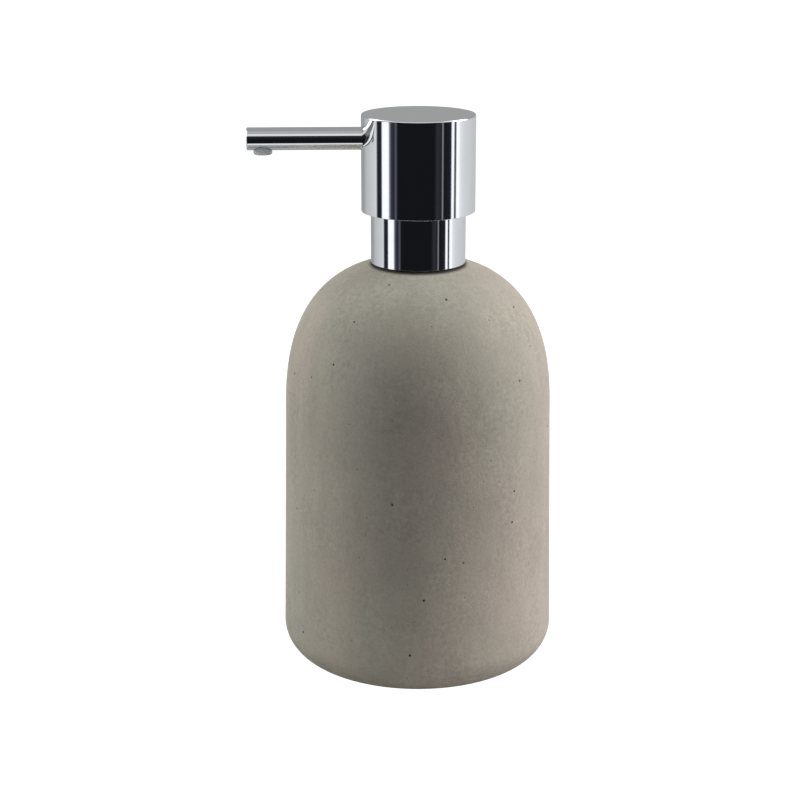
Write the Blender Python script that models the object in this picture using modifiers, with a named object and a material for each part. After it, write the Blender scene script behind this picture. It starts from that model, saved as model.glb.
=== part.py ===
"""Soap pump dispenser: a cast stone bottle with a chrome lotion pump.

Metres, +Z up. The origin is the middle of the face that the dispenser stands on, the pump's
axis is Z, and the spout points along -X. The chrome head slides down over a narrower collar.

Pieces by body, with the joint that carries each one:
    bottle      bottle_shell, base_pad, neck_insert
    pump_unit   pump_housing, housing_cap, ball_retainer, dip_tube, neck_gasket (rises with the thread)
    closure     closure_cap, collar_shell (turns on the neck's thread)
    spring      return_spring (its top goes down with the head)
    head        stem, stem_plug, head_core, head_shell, spout_tube, spout_liner, nozzle_tip (swivels)
    piston_body piston (slides a little on the stem, and so opens the outlet)
    ball_body   inlet_ball (lifts off its seat)
"""

import math

import bmesh
import bpy
from mathutils import Matrix

GAP = 0.0003  # clearance between two pieces that touch
CUT = 0.0010  # how far a cutter stands out of what it cuts

# Bottle
SHOULDER_RADIUS = 0.0400
BASE_RADIUS = 0.0415  # where the leaning wall would meet the base plane
BOTTLE_BASE_Z = 0.0005
BASE_FILLET = 0.0100
SHOULDER_Z = 0.0769  # top of the straight wall
SHOULDER_WIDTH = 0.0399
SHOULDER_HEIGHT = 0.0476
SHOULDER_POWER = 2.58  # 2 would be an ellipse; more is squarer
WALL = 0.0060
FLOOR_Z = 0.0095
FLOOR_FILLET = 0.0070
MOUTH_RADIUS = 0.0126
PAD_RADIUS = 0.0270
PAD_HEIGHT = 0.0015

# Chrome collar and head
COLLAR_RADIUS = 0.01403
COLLAR_WALL = 0.0006
COLLAR_BASE_Z = 0.1237
COLLAR_LIP_BORE = 0.0104
HEAD_RADIUS = 0.01681
HEAD_WALL = 0.0008
HEAD_RIM_Z = 0.1391
HEAD_TOP_Z = 0.1675
EDGE_BEVEL = 0.0004
HEM = 0.00025

# Threaded neck insert and closure
INSERT_RADIUS = MOUTH_RADIUS - GAP
INSERT_BOTTOM_Z = COLLAR_BASE_Z - 0.0080
INSERT_BORE = 0.0086
INSERT_FLANGE_RADIUS = 0.0131
INSERT_FLANGE_HEIGHT = 0.00085
GROOVE_TOPS_Z = (COLLAR_BASE_Z - 0.0022, COLLAR_BASE_Z - 0.0048)
GROOVE_DEPTH = 0.0006
GROOVE_HEIGHT = 0.0010
FINISH_ROOT = 0.01085  # root radius of the neck's thread
FINISH_LAND = 0.00035  # bevel round the neck's top
FINISH_TOP_Z = COLLAR_BASE_Z + 0.0115
THREAD_PITCH = 0.003175
THREAD_DEPTH = 0.0010
THREAD_TURNS = 1.5
RIDGE_HALF_ROOT = 0.0010
RIDGE_HALF_CREST = 0.00045
RIDGE_SUNK = 0.0003  # how far the ridge's root lies inside the wall
RIDGE_STEPS = 20  # in one turn
RIDGE_RUN_OUT = 4  # steps over which each end fades into the wall
THREAD_START_Z = COLLAR_BASE_Z + 0.0031
CAP_RADIUS = 0.01315
CAP_BORE = 0.0123
CAP_BOTTOM_Z = COLLAR_BASE_Z + 0.0014
CAP_WEB_BORE = 0.0090
WEB_HEIGHT = 0.0012

# Pump housing and what sits in it
GASKET_HEIGHT = 0.0010
GASKET_RADII = (0.0082, 0.0112)
FLANGE_RADIUS = 0.0110
BARREL_RADIUS = 0.0072
BARREL_BORE = 0.0062
RIM_RADIUS = 0.0084
RIM_HEIGHT = 0.0032
VENT_RADIUS = 0.0005
VENT_Z = COLLAR_BASE_Z + 0.0045  # between the piston's two lips when the head is up
HOUSING_CAP_RADIUS = 0.0096
HOUSING_CAP_LIP = 0.0004
HOUSING_CAP_TOP = 0.0010
STEM_CLEARANCE = 0.0004
CHAMBER_Z = COLLAR_BASE_Z - 0.0275  # shoulder where the barrel narrows to the ball's chamber
CHAMBER_RADIUS = 0.0030
SEAT_TOP_Z = CHAMBER_Z - 0.0040
SEAT_BOTTOM_Z = SEAT_TOP_Z - 0.0016
INLET_RADIUS = 0.0016
SOCKET_TOP_Z = SEAT_BOTTOM_Z - 0.0024
SOCKET_BOTTOM_Z = SOCKET_TOP_Z - 0.0100
SOCKET_RADIUS = 0.0048
SOCKET_BORE = 0.0033
BALL_RADIUS = 0.0022
BALL_SEAT_GAP = 0.00005
BALL_LIFT = 0.0012
RETAINER_RADIUS = 0.0059
RETAINER_BOSS = 0.0014
RETAINER_HOLES = 6
RETAINER_HOLE_RADIUS = 0.00075
RETAINER_HOLE_CIRCLE = 0.0023
TUBE_RADIUS = 0.0030
TUBE_BORE = 0.0022
TUBE_BOTTOM_Z = 0.0130
TUBE_SLANT = math.radians(40)

# Plunger
STEM_RADIUS = 0.0034
STEM_BORE = 0.0021
STEM_BOTTOM_Z = COLLAR_BASE_Z + 0.0007
STEM_TOP_Z = 0.1640
STOP_RADIUS = 0.0047  # the stem's shoulder, which rests under the housing cap
STOP_HEIGHT = 0.0015
STOP_TOP_Z = COLLAR_BASE_Z + 0.0104
PORT_RADIUS = 0.0014
SLOT_HEIGHT = 0.0026
SLOT_HALF_WIDTH = 0.0007
PLUG_PIN_HEIGHT = 0.0041
PLUG_FLUTES = 4
PLUG_FLUTE_RADIUS = 0.0006
PLUG_RADIUS = 0.0050
PLUG_PIN_RADIUS = 0.0018
PLUG_FLANGE_HEIGHT = 0.0017
PISTON_LAG = 0.0010
PISTON_HUB_WALL = 0.0008
PISTON_WEB_RADIUS = 0.00525
PISTON_WEB_HALF = 0.0007
PISTON_LIP_HALF = 0.0029  # half the distance between the lips' edges
PISTON_LIP_WALL = 0.0004
PISTON_LIP_GAP = 0.00025
PISTON_WAIST = 0.0002
SPRING_RADIUS = 0.00425  # to the middle of the wire
SPRING_WIRE = 0.00045
SPRING_FREE_TURNS = 7
SPRING_END_GAP = 0.0002  # between the wires of a closed turn
SPRING_STEPS = 12  # in one turn

# Head core, spout and nozzle
SPOUT_Z = 0.16045
SPOUT_RADIUS = 0.00333
SPOUT_WALL = 0.0005
SPOUT_LENGTH = 0.0501  # from the pump's axis to the spout's end
SPOUT_ROOT = 0.0083
SPOUT_END_WALL = 0.0008
LINER_RADIUS = SPOUT_RADIUS - SPOUT_WALL - GAP
LINER_BORE = 0.0016
LINER_ROOT = 0.0055
NOZZLE_X = -0.0454
NOZZLE_RADIUS = 0.00277
NOZZLE_NECK = 0.0024
NOZZLE_BOTTOM_Z = 0.1559
NOZZLE_STEP_Z = SPOUT_Z - SPOUT_RADIUS + 0.0004
NOZZLE_TOP_Z = SPOUT_Z + 0.0012
NOZZLE_BORE_TOP_Z = SPOUT_Z + 0.0005
NOZZLE_HOLE_TOP_Z = SPOUT_Z - 0.0014
NOZZLE_INLET_Z = SPOUT_Z - 0.0008
NOZZLE_INLET_RADIUS = 0.0012
CORE_BOSS = 0.0060
CORE_BOTTOM_Z = 0.1562
CORE_SKIRT_Z = 0.1542
CORE_PLATE = 0.0012
CORE_SKIRT_WALL = 0.0010
ARM_RADIUS = 0.0047
ARM_ROOT = 0.0045
RIB_ROOT = 0.0050
RIB_DEPTH = 0.0030  # below the spout's axis
RIB_THICKNESS = 0.0012
RIB_ANGLES = (-60.0, 0.0, 60.0, 180.0)

ROUND_FINE = 48
ROUND_MEDIUM = 32
ROUND_SMALL = 24

MATERIALS = {
    "stone": ((0.33, 0.30, 0.26), 0.85, 0.0),
    "chrome": ((0.80, 0.81, 0.82), 0.08, 1.0),
    "white_plastic": ((0.80, 0.80, 0.78), 0.40, 0.0),
    "clear_plastic": ((0.74, 0.76, 0.76), 0.30, 0.0),
    "spring_steel": ((0.60, 0.60, 0.60), 0.30, 1.0),
    "steel_ball": ((0.66, 0.66, 0.67), 0.15, 1.0),
    "seal_rubber": ((0.10, 0.10, 0.10), 0.70, 0.0),
    "foot_foam": ((0.05, 0.05, 0.05), 0.90, 0.0),
}


def clear_scene():
    for obj in list(bpy.data.objects):
        bpy.data.objects.remove(obj)


def make_collection(name):
    collection = bpy.data.collections.new(name)
    bpy.context.scene.collection.children.link(collection)
    return collection


def make_materials():
    made = {}
    for name, (colour, roughness, metallic) in MATERIALS.items():
        material = bpy.data.materials.new(name)
        material.use_nodes = True
        shader = material.node_tree.nodes["Principled BSDF"]
        shader.inputs["Base Color"].default_value = (*colour, 1.0)
        shader.inputs["Roughness"].default_value = roughness
        shader.inputs["Metallic"].default_value = metallic
        material.diffuse_color = (*colour, 1.0)
        made[name] = material
    return made


def add_object(name, mesh, collection):
    obj = bpy.data.objects.new(name, mesh)
    collection.objects.link(obj)
    return obj


# Profiles are lists of (radius, height) points that run down the outer side.


def arc(radius, height, size, start, end, count):
    """Points on a circle of that size about (radius, height), from start to end degrees."""
    points = []
    for step in range(count + 1):
        angle = math.radians(start + (end - start) * step / count)
        points.append((radius + size * math.cos(angle), height + size * math.sin(angle)))
    return points


def shoulder(inset, mouth_radius, count):
    """The dome's curve, moved in by inset, from the mouth down to the straight wall."""
    width = SHOULDER_WIDTH - inset
    height = SHOULDER_HEIGHT - inset
    centre = SHOULDER_RADIUS - SHOULDER_WIDTH
    mouth_angle = math.acos(((mouth_radius - centre) / width) ** (SHOULDER_POWER / 2))
    points = []
    for step in range(count + 1):
        angle = mouth_angle * (1 - step / count)
        radius = centre + width * math.cos(angle) ** (2 / SHOULDER_POWER)
        points.append((radius, SHOULDER_Z + height * math.sin(angle) ** (2 / SHOULDER_POWER)))
    return points


def foot_arc(inset, base_z, fillet, count):
    """The fillet between the wall, which leans out towards the base, and a flat base at base_z."""
    lean = math.atan((BASE_RADIUS - SHOULDER_RADIUS) / (SHOULDER_Z - BOTTLE_BASE_Z))
    wall_radius = BASE_RADIUS - inset - (base_z - BOTTLE_BASE_Z) * math.tan(lean)
    centre = wall_radius - fillet * (1 + math.sin(lean)) / math.cos(lean)
    return arc(centre, base_z + fillet, fillet, math.degrees(lean), -90, count)


def turned(name, profile, steps, material, collection, ring=True):
    """A turned solid. A ring's profile is closed; otherwise both its ends lie on the axis."""
    count = len(profile)
    edges = [(i, i + 1) for i in range(count - 1)]
    if ring:
        edges.append((count - 1, 0))
    mesh = bpy.data.meshes.new(name)
    mesh.from_pydata([(radius, 0.0, height) for radius, height in profile], edges, [])
    mesh.materials.append(material)
    obj = add_object(name, mesh, collection)
    screw = obj.modifiers.new("turn", "SCREW")
    screw.steps = steps
    screw.render_steps = steps
    screw.use_merge_vertices = True
    screw.merge_threshold = 0.00001
    screw.use_smooth_shade = True
    return obj


def cylinder(name, radius, low, high, steps, collection, matrix=None):
    """A cylinder along local Z from low to high."""
    mesh = bpy.data.meshes.new(name)
    shape = bmesh.new()
    middle = Matrix.Translation((0.0, 0.0, (low + high) / 2))
    bmesh.ops.create_cone(
        shape, cap_ends=True, segments=steps, radius1=radius, radius2=radius, depth=high - low, matrix=middle
    )
    shape.to_mesh(mesh)
    shape.free()
    obj = add_object(name, mesh, collection)
    if matrix is not None:
        obj.matrix_world = matrix
    return obj


def box(name, low, high, collection, matrix=None):
    """A box between two corners."""
    mesh = bpy.data.meshes.new(name)
    shape = bmesh.new()
    size = [high[i] - low[i] for i in range(3)]
    centre = [(high[i] + low[i]) / 2 for i in range(3)]
    bmesh.ops.create_cube(shape, size=1.0, matrix=Matrix.Translation(centre) @ Matrix.Diagonal((*size, 1.0)))
    shape.to_mesh(mesh)
    shape.free()
    obj = add_object(name, mesh, collection)
    if matrix is not None:
        obj.matrix_world = matrix
    return obj


def boolean(obj, other, operation):
    """Cuts obj with other, or joins other to it. The other object becomes a hidden helper."""
    modifier = obj.modifiers.new(other.name, "BOOLEAN")
    modifier.operation = operation
    modifier.solver = "EXACT"
    modifier.object = other
    other.hide_render = True
    other.display_type = "WIRE"


def along_spout(height):
    """A matrix that lays local Z along -X at that height."""
    return Matrix.Translation((0.0, 0.0, height)) @ Matrix.Rotation(math.radians(-90.0), 4, "Y")


def turn(degrees):
    return Matrix.Rotation(math.radians(degrees), 4, "Z")


def curve_to_mesh(curve_object, name, collection):
    """Replaces a curve object by its welded mesh, so that it can take part in a Boolean."""
    bpy.context.view_layer.update()
    graph = bpy.context.evaluated_depsgraph_get()
    mesh = bpy.data.meshes.new_from_object(curve_object.evaluated_get(graph))
    shape = bmesh.new()
    shape.from_mesh(mesh)
    bmesh.ops.remove_doubles(shape, verts=shape.verts, dist=0.000005)
    bmesh.ops.recalc_face_normals(shape, faces=shape.faces)
    shape.to_mesh(mesh)
    shape.free()
    obj = add_object(name, mesh, collection)
    obj.matrix_world = curve_object.matrix_world
    bpy.data.objects.remove(curve_object)
    return obj


def thread_ridge(name, wall_radius, height, start_z, turns, helpers):
    """A helical ridge that stands out from a wall, or into its bore when height is negative."""
    outward = math.copysign(1.0, height)
    reach = height + RIDGE_SUNK * outward
    section_curve = bpy.data.curves.new(name + "_section", "CURVE")
    section_curve.dimensions = "2D"
    section = section_curve.splines.new("POLY")
    corners = [(0.0, -RIDGE_HALF_ROOT), (reach, -RIDGE_HALF_CREST)]
    corners += [(reach, RIDGE_HALF_CREST), (0.0, RIDGE_HALF_ROOT)]
    section.points.add(len(corners) - 1)
    for point, (x, y) in zip(section.points, corners):
        point.co = (x, y, 0.0, 1.0)
    section.use_cyclic_u = True
    section_object = add_object(name + "_section", section_curve, helpers)

    count = round(RIDGE_STEPS * turns)
    path = bpy.data.curves.new(name + "_path", "CURVE")
    path.dimensions = "3D"
    path.twist_mode = "Z_UP"
    path.bevel_mode = "OBJECT"
    path.bevel_object = section_object
    path.use_fill_caps = True
    spline = path.splines.new("POLY")
    spline.points.add(count)
    radius = wall_radius - RIDGE_SUNK * outward
    for step, point in enumerate(spline.points):
        angle = 2 * math.pi * step / RIDGE_STEPS
        z = start_z + THREAD_PITCH * step / RIDGE_STEPS
        point.co = (radius * math.cos(angle), radius * math.sin(angle), z, 1.0)
        point.radius = min(1.0, (step + 1) / RIDGE_RUN_OUT, (count - step + 1) / RIDGE_RUN_OUT)
    ridge = curve_to_mesh(add_object(name + "_path", path, helpers), name, helpers)
    bpy.data.objects.remove(section_object)
    return ridge


def make_bottle(parts, materials):
    recess = PAD_RADIUS + GAP
    profile = [(0.0, FLOOR_Z)]
    profile += foot_arc(WALL, FLOOR_Z, FLOOR_FILLET, 4)[::-1]
    profile += shoulder(WALL, MOUTH_RADIUS, 9)[::-1]
    profile += shoulder(0.0, MOUTH_RADIUS, 12)
    profile += foot_arc(0.0, BOTTLE_BASE_Z, BASE_FILLET, 5)
    profile += [(recess, BOTTLE_BASE_Z), (recess, PAD_HEIGHT + GAP), (0.0, PAD_HEIGHT + GAP)]
    turned("bottle_shell", profile, ROUND_FINE, materials["stone"], parts, ring=False)

    profile = [
        (0.0, PAD_HEIGHT),
        (PAD_RADIUS, PAD_HEIGHT),
        (PAD_RADIUS, HEM),
        (PAD_RADIUS - HEM, 0.0),
        (0.0, 0.0),
    ]
    turned("base_pad", profile, ROUND_MEDIUM, materials["foot_foam"], parts, ring=False)


def make_neck(parts, helpers, materials):
    """The threaded insert that is glued into the mouth, and the closure that screws on it."""
    flange_z = shoulder(0.0, MOUTH_RADIUS, 1)[0][1] + GAP
    profile = [
        (FINISH_ROOT - FINISH_LAND, FINISH_TOP_Z),
        (FINISH_ROOT, FINISH_TOP_Z - FINISH_LAND),
        (FINISH_ROOT, flange_z + INSERT_FLANGE_HEIGHT),
        (INSERT_FLANGE_RADIUS, flange_z + INSERT_FLANGE_HEIGHT),
        (INSERT_FLANGE_RADIUS, flange_z),
        (INSERT_RADIUS, flange_z),
    ]
    for groove_top in GROOVE_TOPS_Z:
        groove_bottom = groove_top - GROOVE_HEIGHT
        groove = INSERT_RADIUS - GROOVE_DEPTH
        profile += [(INSERT_RADIUS, groove_top), (groove, groove_top)]
        profile += [(groove, groove_bottom), (INSERT_RADIUS, groove_bottom)]
    profile += [(INSERT_RADIUS, INSERT_BOTTOM_Z), (INSERT_BORE, INSERT_BOTTOM_Z), (INSERT_BORE, FINISH_TOP_Z)]
    insert = turned("neck_insert", profile, ROUND_MEDIUM, materials["white_plastic"], parts)
    ridge = thread_ridge("neck_thread", FINISH_ROOT, THREAD_DEPTH, THREAD_START_Z, THREAD_TURNS, helpers)
    boolean(insert, ridge, "UNION")

    web_z = FINISH_TOP_Z + GASKET_HEIGHT + WEB_HEIGHT + 3 * GAP
    profile = [
        (CAP_RADIUS, web_z + WEB_HEIGHT),
        (CAP_RADIUS, CAP_BOTTOM_Z),
        (CAP_BORE, CAP_BOTTOM_Z),
        (CAP_BORE, web_z),
        (CAP_WEB_BORE, web_z),
        (CAP_WEB_BORE, web_z + WEB_HEIGHT),
    ]
    cap = turned("closure_cap", profile, ROUND_MEDIUM, materials["white_plastic"], parts)
    start_z = THREAD_START_Z + THREAD_PITCH / 2
    ridge = thread_ridge("cap_thread", CAP_BORE, -THREAD_DEPTH, start_z, THREAD_TURNS, helpers)
    boolean(cap, ridge, "UNION")

    top = web_z + WEB_HEIGHT + GAP + COLLAR_WALL
    inside = COLLAR_RADIUS - COLLAR_WALL
    profile = [
        (COLLAR_RADIUS - EDGE_BEVEL, top),
        (COLLAR_RADIUS, top - EDGE_BEVEL),
        (COLLAR_RADIUS, COLLAR_BASE_Z + HEM),
        (COLLAR_RADIUS - HEM, COLLAR_BASE_Z),
        (inside, COLLAR_BASE_Z),
        (inside, top - COLLAR_WALL),
        (COLLAR_LIP_BORE, top - COLLAR_WALL),
        (COLLAR_LIP_BORE, top),
    ]
    turned("collar_shell", profile, ROUND_FINE, materials["chrome"], parts)


def make_pump_unit(parts, helpers, materials):
    """The barrel that hangs in the neck, its cap, the ball valve's parts and the dip tube."""
    gasket_z = FINISH_TOP_Z + GAP
    inner, outer = GASKET_RADII
    profile = [
        (outer, gasket_z + GASKET_HEIGHT),
        (outer, gasket_z),
        (inner, gasket_z),
        (inner, gasket_z + GASKET_HEIGHT),
    ]
    turned("neck_gasket", profile, ROUND_MEDIUM, materials["seal_rubber"], parts)

    flange_z = gasket_z + GASKET_HEIGHT + GAP
    flange_top = flange_z + WEB_HEIGHT
    rim_z = flange_top + RIM_HEIGHT
    profile = [
        (RIM_RADIUS, rim_z),
        (RIM_RADIUS, flange_top),
        (FLANGE_RADIUS, flange_top),
        (FLANGE_RADIUS, flange_z),
        (BARREL_RADIUS, flange_z),
        (BARREL_RADIUS, CHAMBER_Z),
        (SOCKET_RADIUS, SEAT_BOTTOM_Z),
        (SOCKET_RADIUS, SOCKET_BOTTOM_Z),
        (SOCKET_BORE, SOCKET_BOTTOM_Z),
        (SOCKET_BORE, SOCKET_TOP_Z),
        (INLET_RADIUS, SOCKET_TOP_Z),
        (INLET_RADIUS, SEAT_BOTTOM_Z),
        (CHAMBER_RADIUS, SEAT_TOP_Z),
        (CHAMBER_RADIUS, CHAMBER_Z),
        (BARREL_BORE, CHAMBER_Z),
        (BARREL_BORE, rim_z),
    ]
    housing = turned("pump_housing", profile, ROUND_MEDIUM, materials["clear_plastic"], parts)
    low = BARREL_BORE - CUT
    high = BARREL_RADIUS + CUT
    vent = cylinder("vent_cutter", VENT_RADIUS, low, high, 8, helpers, along_spout(VENT_Z))
    boolean(housing, vent, "DIFFERENCE")

    cap_z = rim_z + GAP
    skirt_z = flange_top + WEB_HEIGHT + 2 * GAP
    bore = STEM_RADIUS + STEM_CLEARANCE
    profile = [
        (HOUSING_CAP_RADIUS + HOUSING_CAP_LIP, cap_z + HOUSING_CAP_TOP),
        (HOUSING_CAP_RADIUS + HOUSING_CAP_LIP, cap_z),
        (HOUSING_CAP_RADIUS, cap_z),
        (HOUSING_CAP_RADIUS, skirt_z),
        (RIM_RADIUS + GAP, skirt_z),
        (RIM_RADIUS + GAP, cap_z),
        (BARREL_BORE - GAP, cap_z),
        (BARREL_BORE - GAP, STOP_TOP_Z + GAP),
        (bore, STOP_TOP_Z + GAP),
        (bore, cap_z + HOUSING_CAP_TOP),
    ]
    turned("housing_cap", profile, ROUND_SMALL, materials["white_plastic"], parts)

    seat_slope = math.hypot(CHAMBER_RADIUS - INLET_RADIUS, SEAT_TOP_Z - SEAT_BOTTOM_Z)
    reach = (BALL_RADIUS + BALL_SEAT_GAP) * seat_slope - INLET_RADIUS * (SEAT_TOP_Z - SEAT_BOTTOM_Z)
    ball_z = SEAT_BOTTOM_Z + reach / (CHAMBER_RADIUS - INLET_RADIUS)
    mesh = bpy.data.meshes.new("inlet_ball")
    shape = bmesh.new()
    bmesh.ops.create_uvsphere(shape, u_segments=16, v_segments=10, radius=BALL_RADIUS)
    shape.to_mesh(mesh)
    shape.free()
    mesh.materials.append(materials["steel_ball"])
    mesh.shade_smooth()
    ball = add_object("inlet_ball", mesh, parts)
    ball.location = (0.0, 0.0, ball_z)

    low = CHAMBER_Z + GAP
    boss_z = ball_z + BALL_RADIUS + BALL_LIFT + GAP
    profile = [
        (0.0, low + WEB_HEIGHT),
        (RETAINER_RADIUS, low + WEB_HEIGHT),
        (RETAINER_RADIUS, low),
        (RETAINER_BOSS, low),
        (RETAINER_BOSS, boss_z),
        (0.0, boss_z),
    ]
    retainer = turned("ball_retainer", profile, ROUND_SMALL, materials["white_plastic"], parts, ring=False)
    high = low + WEB_HEIGHT + CUT
    for index in range(RETAINER_HOLES):
        place = turn(360 * index / RETAINER_HOLES) @ Matrix.Translation((RETAINER_HOLE_CIRCLE, 0.0, 0.0))
        hole = cylinder(f"retainer_hole_{index}", RETAINER_HOLE_RADIUS, low - CUT, high, 8, helpers, place)
        boolean(retainer, hole, "DIFFERENCE")

    tube_top = SOCKET_TOP_Z - GAP
    profile = [
        (TUBE_RADIUS, tube_top),
        (TUBE_RADIUS, TUBE_BOTTOM_Z),
        (TUBE_BORE, TUBE_BOTTOM_Z),
        (TUBE_BORE, tube_top),
    ]
    tube = turned("dip_tube", profile, ROUND_SMALL, materials["clear_plastic"], parts)
    place = Matrix.Translation((0.0, 0.0, TUBE_BOTTOM_Z + TUBE_RADIUS))
    side = 4 * TUBE_RADIUS
    slant = place @ Matrix.Rotation(TUBE_SLANT, 4, "Y")
    foot = box("tube_foot_cutter", (-side, -side, -side), (side, side, 0.0), helpers, slant)
    boolean(tube, foot, "DIFFERENCE")


def make_plunger(parts, helpers, materials):
    """The stem with its plug, the piston on it, and the spring under it."""
    profile = [
        (STEM_RADIUS, STEM_TOP_Z),
        (STEM_RADIUS, STOP_TOP_Z),
        (STOP_RADIUS, STOP_TOP_Z),
        (STOP_RADIUS, STOP_TOP_Z - STOP_HEIGHT),
        (STEM_RADIUS, STOP_TOP_Z - STOP_HEIGHT),
        (STEM_RADIUS, STEM_BOTTOM_Z),
        (STEM_BORE, STEM_BOTTOM_Z),
        (STEM_BORE, STEM_TOP_Z),
    ]
    stem = turned("stem", profile, ROUND_SMALL, materials["white_plastic"], parts)
    reach = STEM_RADIUS + CUT
    low = STEM_BORE - CUT
    port = cylinder("stem_port_cutter", PORT_RADIUS, low, reach, 12, helpers, along_spout(SPOUT_Z))
    boolean(stem, port, "DIFFERENCE")
    for index in range(2):
        high = (reach, SLOT_HALF_WIDTH, STEM_BOTTOM_Z + SLOT_HEIGHT)
        low = (-reach, -SLOT_HALF_WIDTH, STEM_BOTTOM_Z - CUT)
        slot = box(f"stem_slot_{index}", low, high, helpers, turn(90.0 * index))
        boolean(stem, slot, "DIFFERENCE")

    seat_z = STEM_BOTTOM_Z - GAP
    pin_top = seat_z + PLUG_PIN_HEIGHT
    profile = [
        (0.0, pin_top),
        (PLUG_PIN_RADIUS, pin_top),
        (PLUG_PIN_RADIUS, seat_z),
        (PLUG_RADIUS, seat_z),
        (PLUG_RADIUS, seat_z - PLUG_FLANGE_HEIGHT),
        (0.0, seat_z - PLUG_FLANGE_HEIGHT),
    ]
    plug = turned("stem_plug", profile, ROUND_SMALL, materials["white_plastic"], parts, ring=False)
    for index in range(PLUG_FLUTES):
        place = turn(360 * index / PLUG_FLUTES) @ Matrix.Translation((PLUG_PIN_RADIUS, 0.0, 0.0))
        low = seat_z + GAP
        flute = cylinder(f"plug_flute_{index}", PLUG_FLUTE_RADIUS, low, pin_top + CUT, 8, helpers, place)
        boolean(plug, flute, "DIFFERENCE")

    bore = STEM_RADIUS + GAP
    hub = bore + PISTON_HUB_WALL
    lip = BARREL_BORE - PISTON_LIP_GAP
    low = STEM_BOTTOM_Z
    high = STOP_TOP_Z - STOP_HEIGHT - PISTON_LAG - GAP
    waist = (low + high) / 2
    profile = [
        (hub, high),
        (hub, waist + PISTON_WEB_HALF),
        (PISTON_WEB_RADIUS, waist + PISTON_WEB_HALF),
        (lip - PISTON_LIP_WALL, waist + PISTON_LIP_HALF),
        (lip, waist + PISTON_LIP_HALF),
        (lip - PISTON_WAIST, waist),
        (lip, waist - PISTON_LIP_HALF),
        (lip - PISTON_LIP_WALL, waist - PISTON_LIP_HALF),
        (PISTON_WEB_RADIUS, waist - PISTON_WEB_HALF),
        (hub, waist - PISTON_WEB_HALF),
        (hub, low),
        (bore, low),
        (bore, high),
    ]
    turned("piston", profile, ROUND_SMALL, materials["clear_plastic"], parts)

    make_spring(parts, materials)


def make_spring(parts, materials):
    """A coil with a closed turn at each end, from the ball's retainer up to the stem's plug."""
    low = CHAMBER_Z + GAP + WEB_HEIGHT + GAP + SPRING_WIRE
    high = STEM_BOTTOM_Z - GAP - PLUG_FLANGE_HEIGHT - GAP - SPRING_WIRE
    closed_rise = 2 * SPRING_WIRE + SPRING_END_GAP
    turns = SPRING_FREE_TURNS + 2
    free_rise = (high - low - 2 * closed_rise) / SPRING_FREE_TURNS
    curve = bpy.data.curves.new("return_spring", "CURVE")
    curve.dimensions = "3D"
    curve.bevel_depth = SPRING_WIRE
    curve.bevel_resolution = 2
    curve.use_fill_caps = True
    spline = curve.splines.new("POLY")
    spline.points.add(turns * SPRING_STEPS)
    for step, point in enumerate(spline.points):
        done = step / SPRING_STEPS
        free = min(max(done - 1, 0), SPRING_FREE_TURNS)
        angle = 2 * math.pi * done
        z = low + closed_rise * (done - free) + free_rise * free
        point.co = (SPRING_RADIUS * math.cos(angle), SPRING_RADIUS * math.sin(angle), z, 1.0)
    curve.materials.append(materials["spring_steel"])
    add_object("return_spring", curve, parts)


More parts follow.
